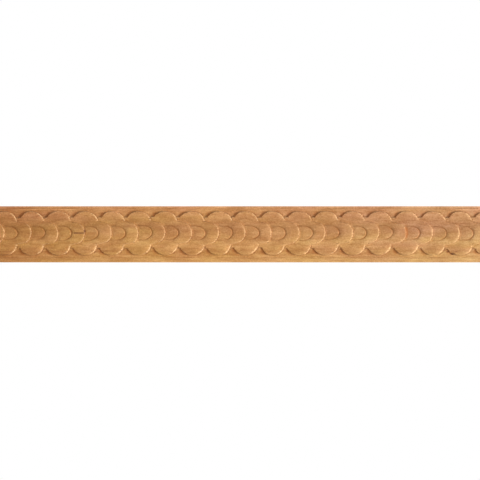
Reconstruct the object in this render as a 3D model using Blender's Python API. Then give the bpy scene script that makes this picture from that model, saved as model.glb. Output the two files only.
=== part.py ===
"""Carved wooden moulding: one length of a flat-backed ogee moulding with a running row of scales.

X runs along the moulding, Z across its width, and the back lies flat at Y = 0 with the carved front
towards -Y. The origin is the middle of the back. Each scale is a round-nosed tongue on a neck with a
round lobe above and below, it overlaps the scale on its right, and the tongue before it leaves a
D-shaped eye outlined by a cut groove. The lobes' walls stand on flat ground, which runs into the
pockets between them.
"""

import math

import bmesh
import bpy
from mathutils import Vector
from mathutils.geometry import delaunay_2d_cdt

# Driving dimensions, in metres
PITCH = 0.040
REPEATS = 18
WIDTH = 0.084
THICKNESS = 0.019

# Heights across the width of the parts of the section
PLATE_LOW = 0.0377
CARVED_TOP = 0.0356
CARVED_LOW = -0.0327
COVE_LOW = -0.0357
BEAD_LOW = -0.0389
STEP_DRAFT = 0.0001

# Depths of the section in front of the back
PLATE_DEPTH = 0.0060
TOP_FILLET_DEPTH = (0.0104, 0.0100)
COVE_DEPTH = (0.0060, 0.0064)
BEAD_DEPTH = 0.0074
LOW_FILLET_DEPTH = 0.0067
TOP_SHOULDER_DEPTH = 0.0134
LOW_SHOULDER_DEPTH = 0.0111

# The ogee's crown is flat between two heights, and falls to the shoulders within a reach
CROWN_TOP = 0.0070
CROWN_LOW = 0.0022
TOP_REACH = 0.0215
LOW_REACH = 0.0262

# Outline of a scale, measured from its tip and from the row's centre line
AXIS_HEIGHT = 0.0019
FIRST_TIP = 0.0079
NOSE_LENGTH = 0.0119
NOSE_HALF_HEIGHT = 0.0152
SHOULDER_SLOPE = math.radians(14)
CROTCH_X = -0.0217
LOBE_CENTRE = 0.0158
LOBE_HALF_LENGTH = 0.0175
TOP_LOBE_RISE = 0.0166
LOW_LOBE_RISE = 0.0174
NECK = 0.0234

# Relief
STEP = 0.0021
TIP_FALL = 0.0004
CREST = 0.85
POCKET_TOP_DEPTH = 0.0096
POCKET_LOW_DEPTH = 0.0078
WALL = 0.0011
EYE_CENTRE = 0.0045
EYE_LENGTH = 0.0157
EYE_HALF_HEIGHT = 0.0108
EYE_PAD = 0.0009
EYE_PAD_REACH = 0.0060
GROOVE_DEPTH = 0.0010
GROOVE_HALF_WIDTH = 0.0012

# Faceting
LOBE_STEPS = 9
NOSE_STEPS = 10
EYE_STEPS = 8
GRID = 0.0050
CLEAR = 0.0018
TINY = 1e-6

HALF_LENGTH = PITCH * REPEATS / 2
HALF_WIDTH = WIDTH / 2
TANGENT_ANGLE = math.atan(NOSE_HALF_HEIGHT / (NOSE_LENGTH * math.tan(SHOULDER_SLOPE)))
TANGENT_X = NOSE_LENGTH * (math.cos(TANGENT_ANGLE) - 1)
TANGENT_V = NOSE_HALF_HEIGHT * math.sin(TANGENT_ANGLE)
CROTCH = TANGENT_V + (TANGENT_X - CROTCH_X) * math.tan(SHOULDER_SLOPE)
LOBE_X = CROTCH_X - math.sqrt(LOBE_HALF_LENGTH**2 - (CROTCH - LOBE_CENTRE) ** 2)


def smooth(value):
    value = min(max(value, 0.0), 1.0)
    return value * value * (3 - 2 * value)


def ogee(reach):
    """Goes from 1 at the crown to 0 at the shoulder in an S curve."""
    return 0.5 + 0.5 * math.cos(math.pi * min(max(reach, 0.0), 1.0))


def blank_depth(z):
    """Depth of the uncarved ogee at height z."""
    if z > CROWN_LOW:
        bulge = ogee((z - CROWN_TOP) / TOP_REACH)
        return TOP_SHOULDER_DEPTH + (THICKNESS - TOP_SHOULDER_DEPTH) * bulge
    bulge = ogee((CROWN_LOW - z) / LOW_REACH)
    return LOW_SHOULDER_DEPTH + (THICKNESS - LOW_SHOULDER_DEPTH) * bulge


def ground_depth(z):
    """Depth of the flat ground round the lobes, which runs into the pockets between them."""
    if z > AXIS_HEIGHT:
        share = (z - AXIS_HEIGHT - NECK) / (CARVED_TOP - AXIS_HEIGHT - NECK)
        return POCKET_TOP_DEPTH + (TOP_FILLET_DEPTH[1] - POCKET_TOP_DEPTH) * smooth(share)
    share = (AXIS_HEIGHT - NECK - z) / (AXIS_HEIGHT - NECK - CARVED_LOW)
    return POCKET_LOW_DEPTH + (COVE_DEPTH[0] - POCKET_LOW_DEPTH) * smooth(share)


def lobe_rise(v):
    return TOP_LOBE_RISE if v > 0 else LOW_LOBE_RISE


def nose_edge(v):
    """Right edge of a tongue, measured from its tip, at distance v from the centre line."""
    v = abs(v)
    if v < TANGENT_V:
        return NOSE_LENGTH * (math.sqrt(1 - (v / NOSE_HALF_HEIGHT) ** 2) - 1)
    return TANGENT_X - (v - TANGENT_V) / math.tan(SHOULDER_SLOPE)


def outside_ellipse(x, v, half_length, half_height):
    """Distance outside an ellipse round the origin, negative inside it."""
    size = max(math.hypot(x / half_length, v / half_height), TINY)
    slope = max(math.hypot(x / half_length**2, v / half_height**2), TINY) / size
    return (size - 1) / slope


def outside_tongue(x, v):
    """Distance outside a tongue whose tip is at x = 0, negative inside it."""
    v = abs(v)
    sine, cosine = math.sin(SHOULDER_SLOPE), math.cos(SHOULDER_SLOPE)
    if (x - TANGENT_X) * cosine > (v - TANGENT_V) * sine:
        return outside_ellipse(x + NOSE_LENGTH, v, NOSE_LENGTH, NOSE_HALF_HEIGHT)
    return (x - TANGENT_X) * sine + (v - TANGENT_V) * cosine


def outside_lobe(x, v):
    """Distance outside the lobe on the same side as v, for the scale whose tip is at x = 0."""
    return outside_ellipse(x - LOBE_X, abs(v) - LOBE_CENTRE, LOBE_HALF_LENGTH, lobe_rise(v))


def outside_scale(x, v):
    """Distance outside the scale whose tip is at x = 0. Its neck runs on under the scale before it."""
    if x < LOBE_X:
        return min(outside_lobe(x, v), abs(v) - NECK)
    if abs(v) < CROTCH:
        return outside_tongue(x, v)
    if x < CROTCH_X:
        return outside_lobe(x, v)
    return min(outside_tongue(x, v), outside_lobe(x, v))


def outside_eye(x, v):
    """Distance outside the D-shaped eye that lies in front of a tongue whose tip is at x = 0."""
    return outside_ellipse(max(x - EYE_CENTRE, 0.0), v, EYE_LENGTH, EYE_HALF_HEIGHT)


def lobe_share(v):
    """Goes from 0 at the crotch to 1 at the far end of a lobe."""
    share = (abs(v) - CROTCH) / (LOBE_CENTRE + lobe_rise(v) - CROTCH)
    return min(max(share, 0.0), 1.0)


def scale_relief(x, v):
    """Height of a scale above the blank, where x = 0 is the tip of the tongue before it."""
    start = nose_edge(v) if abs(v) < CROTCH else CROTCH_X
    travel = (x - start) / PITCH
    rise = smooth(travel / CREST)
    fall = smooth((travel - CREST) / (1 - CREST))
    relief = -STEP * (1 - rise) * (1 - lobe_share(v)) - TIP_FALL * fall
    eye = outside_eye(x, v)
    pad = EYE_PAD * smooth((x - start) / EYE_PAD_REACH) - STEP - relief
    relief += pad * smooth(-eye / GROOVE_HALF_WIDTH)
    return relief - GROOVE_DEPTH * max(0.0, 1 - abs(eye) / GROOVE_HALF_WIDTH)


def front_depth(x, z):
    """Depth of the carved front at a place on the band."""
    v = z - AXIS_HEIGHT
    depth = ground_depth(z)
    passed = math.floor((x - FIRST_TIP) / PITCH)
    for index in range(passed + 3, passed - 1, -1):
        local = x - FIRST_TIP - index * PITCH
        cover = 1 - min(max(outside_scale(local, v) / WALL, 0.0), 1.0)
        depth += (blank_depth(z) + scale_relief(local + PITCH, v) - depth) * cover
    return depth


def arc(centre, radii, start, end, steps, outside=0.0):
    """Points on an elliptical arc between two angles, moved outwards by a distance."""
    points = []
    for step in range(steps + 1):
        angle = start + (end - start) * step / steps
        cosine, sine = math.cos(angle), math.sin(angle)
        size = math.hypot(cosine / radii[0], sine / radii[1])
        x = radii[0] * cosine + outside * cosine / radii[0] / size
        v = radii[1] * sine + outside * sine / radii[1] / size
        points.append((centre[0] + x, centre[1] + v))
    return points


def tongue_line(outside):
    """A line at one distance outside a tongue's edge, from crotch to crotch, tip at x = 0."""
    radii = (NOSE_LENGTH, NOSE_HALF_HEIGHT)
    nose = arc((-NOSE_LENGTH, 0.0), radii, TANGENT_ANGLE, -TANGENT_ANGLE, NOSE_STEPS, outside)
    end = CROTCH + outside / math.cos(SHOULDER_SLOPE)
    return [(CROTCH_X, end), *nose, (CROTCH_X, -end)]


def lobe_lines(side, rise, outside):
    """Lines at one distance outside a lobe's edge and the neck's edge before it, tip at x = 0."""
    neck_angle = math.asin((NECK - LOBE_CENTRE) / rise)
    crotch_angle = math.asin((CROTCH - LOBE_CENTRE) / rise)
    centre, radii = (LOBE_X, LOBE_CENTRE), (LOBE_HALF_LENGTH, rise)
    lobe = arc(centre, radii, math.pi - neck_angle, crotch_angle, LOBE_STEPS, outside)
    reach = LOBE_HALF_LENGTH * math.cos(neck_angle)
    height = NECK + outside
    neck = [(LOBE_X - PITCH + reach + WALL, height), (LOBE_X - reach, height)]
    return [[(x, side * v) for x, v in line] for line in (lobe, neck)]


def eye_line(outside):
    """A line at one distance outside the eye's edge, from the tongue round its end and back."""
    radii = (EYE_LENGTH, EYE_HALF_HEIGHT)
    end = arc((EYE_CENTRE, 0.0), radii, math.pi / 2, -math.pi / 2, EYE_STEPS, outside)
    start = nose_edge(EYE_HALF_HEIGHT + outside) + WALL
    return [(start, EYE_HALF_HEIGHT + outside), *end, (start, -EYE_HALF_HEIGHT - outside)]


def carving_lines():
    """Every line of the carving along the whole length, as lists of places in the (x, z) plane."""
    lines = [eye_line(outside) for outside in (-GROOVE_HALF_WIDTH, 0.0, GROOVE_HALF_WIDTH)]
    for outside in (0.0, WALL):
        lines.append(tongue_line(outside))
        lines += lobe_lines(1, TOP_LOBE_RISE, outside)
        lines += lobe_lines(-1, LOW_LOBE_RISE, outside)
    placed = []
    for index in range(-REPEATS // 2 - 1, REPEATS // 2 + 2):
        shift = FIRST_TIP + index * PITCH
        placed += [[(x + shift, v + AXIS_HEIGHT) for x, v in line] for line in lines]
    return placed


def distance_to_segment(place, start, end):
    run = end - start
    share = min(max((place - start).dot(run) / run.length_squared, 0.0), 1.0)
    return (place - start - run * share).length


def grid_points(lines):
    """Points spread over one repeat of the band, clear of the carving's lines, for every repeat."""
    low, high = -PITCH / 2, PITCH / 2
    segments = []
    for line in lines:
        corners = [Vector(corner) for corner in line]
        near = [low - PITCH < corner.x < high + PITCH for corner in corners]
        if all(near):
            segments += list(zip(corners, corners[1:]))
    rows = round((CARVED_TOP - CARVED_LOW) / (GRID * math.sin(math.pi / 3)))
    columns = round(PITCH / GRID)
    points = []
    for row in range(1, rows):
        z = CARVED_LOW + (CARVED_TOP - CARVED_LOW) * row / rows
        for column in range(columns):
            place = Vector((low + PITCH * (column + 0.25 + 0.5 * (row % 2)) / columns, z))
            if all(distance_to_segment(place, *segment) > CLEAR for segment in segments):
                points.append(place)
    shifts = [(index + 0.5) * PITCH for index in range(-REPEATS // 2, REPEATS // 2)]
    return [Vector((point.x + shift, point.y)) for shift in shifts for point in points]


def carved_band():
    """Triangles of the carved band: places in the (x, z) plane, and faces on them."""
    places = [
        Vector((-HALF_LENGTH, CARVED_LOW)),
        Vector((HALF_LENGTH, CARVED_LOW)),
        Vector((HALF_LENGTH, CARVED_TOP)),
        Vector((-HALF_LENGTH, CARVED_TOP)),
    ]
    lines = carving_lines()
    edges = [(0, 1), (1, 2), (2, 3), (3, 0)]
    for line in lines:
        first = len(places)
        places += [Vector(place) for place in line]
        edges += [(index, index + 1) for index in range(first, len(places) - 1)]
    places += [point for point in grid_points(lines) if abs(point.x) < HALF_LENGTH - CLEAR]
    result = delaunay_2d_cdt(places, edges, [], 0, TINY, False)
    places = result[0]
    faces = []
    for face in result[2]:
        middle = sum((places[index] for index in face), Vector((0, 0))) / len(face)
        if abs(middle.x) < HALF_LENGTH and CARVED_LOW < middle.y < CARVED_TOP:
            faces.append(face)
    return places, faces


def flange_stations():
    """Heights and depths of the plain edges of the section, above and below the carved band."""
    top = [
        (PLATE_LOW - STEP_DRAFT, TOP_FILLET_DEPTH[0]),
        (PLATE_LOW, PLATE_DEPTH),
        (HALF_WIDTH, PLATE_DEPTH),
    ]
    low = [
        (COVE_LOW + STEP_DRAFT, COVE_DEPTH[1]),
        (COVE_LOW, BEAD_DEPTH),
        (BEAD_LOW, BEAD_DEPTH),
        (BEAD_LOW - STEP_DRAFT, LOW_FILLET_DEPTH),
        (-HALF_WIDTH, LOW_FILLET_DEPTH),
    ]
    return top, low


def add_flange(mesh, edge_verts, stations):
    """Runs the plain stations on from the carved band's straight edge, and returns the last line."""
    line = sorted(edge_verts, key=lambda vert: vert.co.x)
    for height, depth in stations:
        ends = (line[0].co.x, line[-1].co.x)
        new_line = [mesh.verts.new((x, -depth, height)) for x in ends]
        mesh.faces.new((*line, *reversed(new_line)))
        line = new_line
    return line


def make_moulding():
    mesh = bmesh.new()
    places, faces = carved_band()
    verts = [mesh.verts.new((place.x, -front_depth(place.x, place.y), place.y)) for place in places]
    for face in faces:
        mesh.faces.new([verts[index] for index in face])
    loose = [vert for vert in mesh.verts if not vert.link_faces]
    bmesh.ops.delete(mesh, geom=loose, context="VERTS")

    top_stations, low_stations = flange_stations()
    top_edge = [vert for vert in mesh.verts if vert.co.z > CARVED_TOP - TINY]
    low_edge = [vert for vert in mesh.verts if vert.co.z < CARVED_LOW + TINY]
    front_top = add_flange(mesh, top_edge, top_stations)
    front_low = add_flange(mesh, low_edge, low_stations)

    back_low = [mesh.verts.new((vert.co.x, 0.0, -HALF_WIDTH)) for vert in front_low]
    back_top = [mesh.verts.new((vert.co.x, 0.0, HALF_WIDTH)) for vert in front_top]
    mesh.faces.new((*front_top, *reversed(back_top)))
    mesh.faces.new((*front_low, *reversed(back_low)))
    mesh.faces.new((*back_low, *reversed(back_top)))
    for end, side in ((0, -1), (1, 1)):
        front = [vert for vert in mesh.verts if side * vert.co.x > HALF_LENGTH - TINY and vert.co.y < 0]
        front.sort(key=lambda vert: vert.co.z)
        mesh.faces.new((*front, back_top[end], back_low[end]))
    bmesh.ops.recalc_face_normals(mesh, faces=mesh.faces)
    return mesh


def wood():
    material = bpy.data.materials.new("carved_wood")
    material.use_nodes = True
    shader = material.node_tree.nodes["Principled BSDF"]
    shader.inputs["Base Color"].default_value = (0.56, 0.27, 0.10, 1)
    shader.inputs["Roughness"].default_value = 0.55
    shader.inputs["Metallic"].default_value = 0.0
    return material


def main():
    for old in list(bpy.data.objects):
        bpy.data.objects.remove(old, do_unlink=True)
    mesh = make_moulding()
    data = bpy.data.meshes.new("moulding")
    mesh.to_mesh(data)
    mesh.free()
    data.materials.append(wood())
    moulding = bpy.data.objects.new("moulding", data)
    bpy.context.scene.collection.objects.link(moulding)


main()
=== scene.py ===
import math

import bmesh
import bpy
import numpy as np
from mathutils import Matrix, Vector
from mathutils.geometry import delaunay_2d_cdt
from mathutils.kdtree import KDTree


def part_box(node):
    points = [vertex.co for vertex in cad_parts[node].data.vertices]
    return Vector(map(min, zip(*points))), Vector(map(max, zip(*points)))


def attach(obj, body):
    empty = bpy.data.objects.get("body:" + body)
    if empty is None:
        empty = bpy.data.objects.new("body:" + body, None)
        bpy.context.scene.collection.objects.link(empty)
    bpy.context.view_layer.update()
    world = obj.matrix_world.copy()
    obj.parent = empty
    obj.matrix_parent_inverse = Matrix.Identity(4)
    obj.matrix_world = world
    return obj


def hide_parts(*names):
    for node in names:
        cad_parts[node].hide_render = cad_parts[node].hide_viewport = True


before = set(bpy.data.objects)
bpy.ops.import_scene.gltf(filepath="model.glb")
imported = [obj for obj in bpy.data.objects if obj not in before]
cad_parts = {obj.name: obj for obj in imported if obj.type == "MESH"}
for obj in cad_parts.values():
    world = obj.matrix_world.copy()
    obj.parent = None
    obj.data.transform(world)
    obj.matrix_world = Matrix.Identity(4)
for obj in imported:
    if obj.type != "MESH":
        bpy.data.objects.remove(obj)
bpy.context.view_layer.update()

# Lengths are in metres and colours are linear. X runs along the moulding and Z across it, the flat
# back lies at Y = 0, and v is a height above the centre line of the row of scales.

# The blank, its length and width read from the imported part, and the repeat of the pattern
LOW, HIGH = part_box("moulding")
HALF_LENGTH = (HIGH.x - LOW.x) / 2
HALF_WIDTH = (HIGH.z - LOW.z) / 2
THICKNESS = 0.0190
PITCH = 0.0400
REPEATS = round(2 * HALF_LENGTH / PITCH)

# Heights of the steps in the section
PLATE_LOW = 0.0377
CARVED_TOP = 0.0356
CARVED_LOW = -0.0327
COVE_LOW = -0.0357
BEAD_LOW = -0.0389
STEP_DRAFT = 0.0001

# Depths of the section in front of the back, and the ogee's crown and how far its two sides reach
PLATE_DEPTH = 0.0060
TOP_FILLET_DEPTH = (0.0104, 0.0100)
COVE_DEPTH = (0.0060, 0.0064)
BEAD_DEPTH = 0.0074
LOW_FILLET_DEPTH = 0.0067
TOP_SHOULDER_DEPTH = 0.0134
LOW_SHOULDER_DEPTH = 0.0111
CROWN_TOP = 0.0070
CROWN_LOW = 0.0022
TOP_REACH = 0.0215
LOW_REACH = 0.0262

# Outline of a scale, measured from its tip and from the row's centre line: a tongue with a round
# nose and sloping shoulders, and behind it a neck with a round lobe above and below
AXIS_HEIGHT = 0.0019
FIRST_TIP = 0.0079
NOSE_LENGTH = 0.0119
NOSE_HALF_HEIGHT = 0.0152
SHOULDER_SLOPE = math.radians(14)
CROTCH_X = -0.0217
LOBE_CENTRE = 0.0158
LOBE_HALF_LENGTH = 0.0184
TOP_LOBE_RISE = 0.0166
LOW_LOBE_RISE = 0.0174
TOP_NECK = 0.0234
LOW_NECK = 0.0227
TANGENT_ANGLE = math.atan(NOSE_HALF_HEIGHT / (NOSE_LENGTH * math.tan(SHOULDER_SLOPE)))
TANGENT_X = NOSE_LENGTH * (math.cos(TANGENT_ANGLE) - 1)
TANGENT_V = NOSE_HALF_HEIGHT * math.sin(TANGENT_ANGLE)
CROTCH = TANGENT_V + (TANGENT_X - CROTCH_X) * math.tan(SHOULDER_SLOPE)
LOBE_X = CROTCH_X - math.sqrt(LOBE_HALF_LENGTH**2 - (CROTCH - LOBE_CENTRE) ** 2)

# Relief of a scale: its step over the next one, where along a repeat its crest lies, and the
# pockets between lobes
STEP = 0.0021
TIP_FALL = 0.00015
CREST = 0.92
LOW_LOBE_SINK = 0.55
POCKET_TOP_DEPTH = 0.0096
POCKET_LOW_DEPTH = 0.0078

# Walls of the cuts: their widths, the lobes' lean, and the rounding and fall towards the edge
STEEP_WALL = 0.0006
NOSE_WALL = 0.0010
SHOULDER_WALL = 0.0015
TOP_LOBE_WALL = 0.0016
LOW_LOBE_WALL = 0.0022
LOBE_LEAN = 0.0009
WALL_HOLLOW = 0.7
ARRIS = 0.0005
ARRIS_DROP = 0.00012
TOP_LOBE_FALL = (0.0010, 0.0065)
LOW_LOBE_FALL = (0.0015, 0.0080)
LOBE_FALL_CURVE = 1.6
LOBE_FALL_START = 0.25
FOOT_DIP = 0.00032
FOOT_PLACE = 0.0022
FOOT_REACH = 0.0026

# The eye in front of each tongue, and the groove round it
EYE_CENTRE = 0.0045
EYE_LENGTH = 0.0161
EYE_HALF_HEIGHT = 0.0108
EYE_PAD = 0.0013
EYE_PAD_REACH = 0.0200
GROOVE_DEPTH = 0.0013
GROOVE_INNER = 0.0013
GROOVE_OUTER = 0.0022
GROOVE_RUN_OUT = 0.0070
GROOVE_WALL = 0.65
GROOVE_START = 0.0016
GROOVE_ENTRY = 0.25
GROOVE_SIDE = 0.60
GROOVE_FULL_AT = 0.8

# Reach and strength of the shares that the materials read as attributes, most of them painted shade and painted
# highlights: two of them fade up the tongue, and the last two values are how far from the band's edges the
# masks come to full
CUT_SHADE_REACH = 0.0042
EDGE_REACH = 0.0011
FOOT_LINE = 0.0008
FOOT_FADE = 0.7
NOSE_FADE = 0.5
NOSE_HIGHLIGHT = 0.9
TOP_LOBE_HIGHLIGHT = 0.95
LOW_LOBE_HIGHLIGHT = 1.2
BACK_PAINTED_LIGHT = 0.30
CARVED_FADE = 0.0010
INNER_FADE = 0.0090

# Slope and offset that turn how far an edge faces along +X, from -1 to 1, into such a share
PAINTED_CUT_SHADE_FACING = (-1.7, -0.4)
LIT_FACING = (2.2, -0.45)
LOW_SHOULDER_FACING = (2.2, -0.06)
BACK_FACING = ((2.5, 2.125), (-4.0, 1.5))

# The fine mesh: its spacings, where each row of grid points starts, which scales reach a place and
# a repeat, and the lines along a wall, each by its share of the wall's width and an offset
LINE_SPACING = 0.0009
GRID_SPACING = 0.00105
ROW_SPACING = GRID_SPACING * math.sin(math.pi / 3)
ROW_STARTS = (0.25, 0.75)
CLEAR = 0.00055
WELD = 0.00002
NEAR_ZERO = 1e-6
FRONT_FROM = 0.003
SCALES_AHEAD = (3, 2, 1, 0)
SCALES_AROUND = range(-1, 4)
WALL_LINES = ((-0.5, -ARRIS), (-0.5, 0.0), (0.0, 0.0), (0.5, 0.0))
SIDES = ((1, TOP_LOBE_RISE, TOP_NECK), (-1, LOW_LOBE_RISE, LOW_NECK))

# How the hand-held gouge varies the run of scales. Each movement has a size, ripples per metre
# along each axis, detail, a place in the seeded noise, a direction, and where it moves the outline a
# mask that keeps it to where it can't fold the mesh. Such a movement also dies out at the sawn ends.
SEED = 7.0
MOVEMENTS = (
    ("Drift", 0.0060, (26.0, 0.0, 22.0), 1.0, 0.0, (1.0, 0.0, 0.8), "inner"),
    ("Depth drift", 0.0005, (34.0, 0.0, 60.0), 2.0, 11.0, (0.0, 1.0, 0.0), None),
    ("Facets", 0.0012, (80.0, 0.0, 130.0), 2.0, 31.0, (0.0, 1.0, 0.0), None),
    ("Gouge marks", 0.00014, (420.0, 0.0, 900.0), 2.0, 23.0, (0.0, 1.0, 0.0), None),
    ("Ragged edge", 0.0011, (520.0, 0.0, 700.0), 2.0, 41.0, (1.0, 0.3, 0.4), "edge"),
)
END_CALM = 0.012

# How near a point is to be on a sawn end, from where a face or an edge counts as facing back or
# sharp, and the places of the three woods in the moulding's list of materials
END_TOLERANCE = 0.0001
BACK_NORMAL = 0.9
SHARP_ANGLE = math.radians(38)
FACE_WOOD, END_WOOD, BACK_WOOD = range(3)

# Spans of values, the mean of any noise, and the sockets of a colour mix node, which shares the
# names of its sockets between types of data
UNIT = (0.0, 1.0)
BOTH_WAYS = (-1.0, 1.0)
EVEN_SPAN = (0.32, 0.68)
NOISE_MIDDLE = 0.5
MIX_INPUTS = (0, 6, 7)
MIX_RESULT = 2


def smooth(value):
    """An S curve from 0 to 1."""
    value = np.clip(value, 0.0, 1.0)
    return value * value * (3 - 2 * value)


def bell(distance, reach):
    """1 at a distance of 0, fading over a reach to both sides."""
    return np.exp(-((distance / reach) ** 2))


def ogee(reach):
    """Goes from 1 at the crown to 0 at the shoulder in an S curve."""
    return 0.5 + 0.5 * np.cos(math.pi * np.clip(reach, 0.0, 1.0))


def blank_depth(z):
    """Depth of the uncarved ogee at height z."""
    top = TOP_SHOULDER_DEPTH + (THICKNESS - TOP_SHOULDER_DEPTH) * ogee((z - CROWN_TOP) / TOP_REACH)
    low = LOW_SHOULDER_DEPTH + (THICKNESS - LOW_SHOULDER_DEPTH) * ogee((CROWN_LOW - z) / LOW_REACH)
    return np.where(z > CROWN_LOW, top, low)


def ground_depth(z):
    """Depth of the flat ground round the lobes, which runs into the pockets between them."""
    top = (z - AXIS_HEIGHT - TOP_NECK) / (CARVED_TOP - AXIS_HEIGHT - TOP_NECK)
    low = (AXIS_HEIGHT - LOW_NECK - z) / (AXIS_HEIGHT - LOW_NECK - CARVED_LOW)
    top_depth = POCKET_TOP_DEPTH + (TOP_FILLET_DEPTH[1] - POCKET_TOP_DEPTH) * smooth(top)
    low_depth = POCKET_LOW_DEPTH + (COVE_DEPTH[0] - POCKET_LOW_DEPTH) * smooth(low)
    return np.where(z > AXIS_HEIGHT, top_depth, low_depth)


def lobe_rise(v):
    """Half height of the lobe on the side of the centre line where v lies."""
    return np.where(v > 0, TOP_LOBE_RISE, LOW_LOBE_RISE)


def ellipse_gap(x, v, half_length, half_height):
    """Distance outside an ellipse, negative inside it, and how far its edge there faces along +X."""
    size = np.maximum(np.hypot(x / half_length, v / half_height), NEAR_ZERO)
    along, across = x / half_length**2 / size, v / half_height**2 / size
    slope = np.maximum(np.hypot(along, across), NEAR_ZERO)
    return (size - 1) / slope, along / slope


def tongue_gap(x, v):
    """Distance outside the tongue whose tip is at x = 0, and how far its edge faces along +X."""
    v = np.abs(v)
    nose, facing = ellipse_gap(x + NOSE_LENGTH, v, NOSE_LENGTH, NOSE_HALF_HEIGHT)
    sine, cosine = math.sin(SHOULDER_SLOPE), math.cos(SHOULDER_SLOPE)
    shoulder = (x - TANGENT_X) * sine + (v - TANGENT_V) * cosine
    on_nose = (x - TANGENT_X) * cosine > (v - TANGENT_V) * sine
    return np.where(on_nose, nose, shoulder), np.where(on_nose, facing, sine)


def wall_width(facing, away, towards):
    """Goes from one width to another as a wall turns to face along +X."""
    return away + (towards - away) * smooth(facing)


def tongue_wall(facing):
    """Width of a tongue's wall: soft along the shoulders, steeper at the nose."""
    return wall_width(facing, SHOULDER_WALL, NOSE_WALL)


def lobe_wall(facing, v):
    """Width of a lobe's wall: steep on the left, leaning back on the right."""
    return wall_width(facing, STEEP_WALL, np.where(v > 0, TOP_LOBE_WALL, LOW_LOBE_WALL))


def scale_gap(x, v):
    """Distance past a scale's arris, how far its edge faces along +X, and its wall's width."""
    tongue, tongue_facing = tongue_gap(x, v)
    height = np.abs(v) - LOBE_CENTRE
    lobe, lobe_facing = ellipse_gap(x - LOBE_X, height, LOBE_HALF_LENGTH, lobe_rise(v))
    neck = np.abs(v) - np.where(v > 0, TOP_NECK, LOW_NECK)
    lobe = lobe - LOBE_LEAN * smooth(lobe_facing)
    by_lobe = (np.abs(v) > CROTCH) & ((x < CROTCH_X) | (lobe < tongue))
    gap = np.where(by_lobe, lobe, tongue)
    facing = np.where(by_lobe, lobe_facing, tongue_facing)
    behind = x < LOBE_X
    gap = np.where(behind, np.minimum(lobe, neck), gap)
    facing = np.where(behind & (neck < lobe), 0.0, facing)
    width = np.where(by_lobe, lobe_wall(facing, v), tongue_wall(facing))
    return gap + width / 2, facing, width


def nose_edge(v):
    """Right edge of a tongue, measured from its tip, at distance v from the centre line."""
    v = np.abs(v)
    nose = NOSE_LENGTH * (np.sqrt(np.maximum(1 - (v / NOSE_HALF_HEIGHT) ** 2, 0.0)) - 1)
    shoulder = TANGENT_X - (v - TANGENT_V) / math.tan(SHOULDER_SLOPE)
    return np.where(v < TANGENT_V, nose, shoulder)


def eye_gap(x, v):
    """Distance outside the D-shaped eye that lies in front of a tongue whose tip is at x = 0."""
    return ellipse_gap(np.maximum(x - EYE_CENTRE, 0.0), v, EYE_LENGTH, EYE_HALF_HEIGHT)[0]


def lobe_share(v):
    """Goes from 0 at the crotch to 1 at the far end of a lobe."""
    return np.clip((np.abs(v) - CROTCH) / (LOBE_CENTRE + lobe_rise(v) - CROTCH), 0.0, 1.0)


def groove_start(x, v):
    """How deep the gouge goes: least beside the nose, shallow along the eye's sides, full at its end."""
    entry = GROOVE_ENTRY + (1 - GROOVE_ENTRY) * smooth((x - nose_edge(v) - GROOVE_START) / GROOVE_START)
    along = smooth((x - EYE_CENTRE) / (GROOVE_FULL_AT * EYE_LENGTH))
    return entry * (GROOVE_SIDE + (1 - GROOVE_SIDE) * along)


def groove(eye, x, v):
    """The cut round an eye, 1 at its bottom: a steep inner wall, an outer one and a long run-out."""
    inner = np.clip(1 + eye / GROOVE_INNER, 0.0, 1.0)
    wall = np.clip(1 - eye / GROOVE_OUTER, 0.0, 1.0)
    outer = GROOVE_WALL * wall + (1 - GROOVE_WALL) * smooth(1 - eye / GROOVE_RUN_OUT)
    return np.where(eye < 0, inner, outer) * groove_start(x, v)


def scale_relief(x, v):
    """Height of a scale above the blank, where x = 0 is the tip of the tongue before it."""
    start = np.where(np.abs(v) < CROTCH, nose_edge(v), CROTCH_X)
    travel = (x - start) / PITCH
    rise = smooth(travel / CREST)
    fall = smooth((travel - CREST) / (1 - CREST))
    sink = 1 - lobe_share(v) * np.where(v > 0, 1.0, 1 - LOW_LOBE_SINK)
    relief = -STEP * (1 - rise) * sink - TIP_FALL * fall
    eye = eye_gap(x, v)
    pad = EYE_PAD * (x - start) / EYE_PAD_REACH - STEP
    relief = relief + (pad - relief) * smooth(-eye / GROOVE_INNER)
    past = tongue_gap(x, v)[0] - FOOT_PLACE
    dip = np.where(np.abs(v) < CROTCH, FOOT_DIP * bell(past, FOOT_REACH), 0.0)
    return relief - GROOVE_DEPTH * groove(eye, x, v) - dip


def walls_near(x, v):
    """For each scale that can reach a place, lowest first: the place from its tip, and its wall there."""
    passed = np.floor((x - FIRST_TIP) / PITCH)
    for ahead in SCALES_AHEAD:
        local = x - FIRST_TIP - (passed + ahead) * PITCH
        yield (local, *scale_gap(local, v))


def front_depth(x, z):
    """Depth of the carved front at places on the band."""
    v = z - AXIS_HEIGHT
    depth = ground_depth(z)
    fall, reach = (np.where(v > 0, top, low) for top, low in zip(TOP_LOBE_FALL, LOW_LOBE_FALL))
    for local, gap, facing, width in walls_near(x, v):
        cover = (1 - np.clip(gap / width, 0.0, 1.0)) ** (1 + WALL_HOLLOW * smooth(facing))
        rounded = ARRIS_DROP * smooth(1 + gap / ARRIS)
        near_edge = np.clip(1 + gap / reach, 0.0, 1.0) ** LOBE_FALL_CURVE
        lobe_fall = fall * near_edge * smooth(facing) * smooth(lobe_share(v) / LOBE_FALL_START)
        surface = blank_depth(z) + scale_relief(local + PITCH, v) - rounded - lobe_fall
        depth = depth + (surface - depth) * cover
    return depth


def facing_share(facing, line):
    """A share from 0 to 1 that follows how far an edge faces along +X, by a slope and an offset."""
    slope, offset = line
    return smooth(slope * facing + offset)


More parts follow.
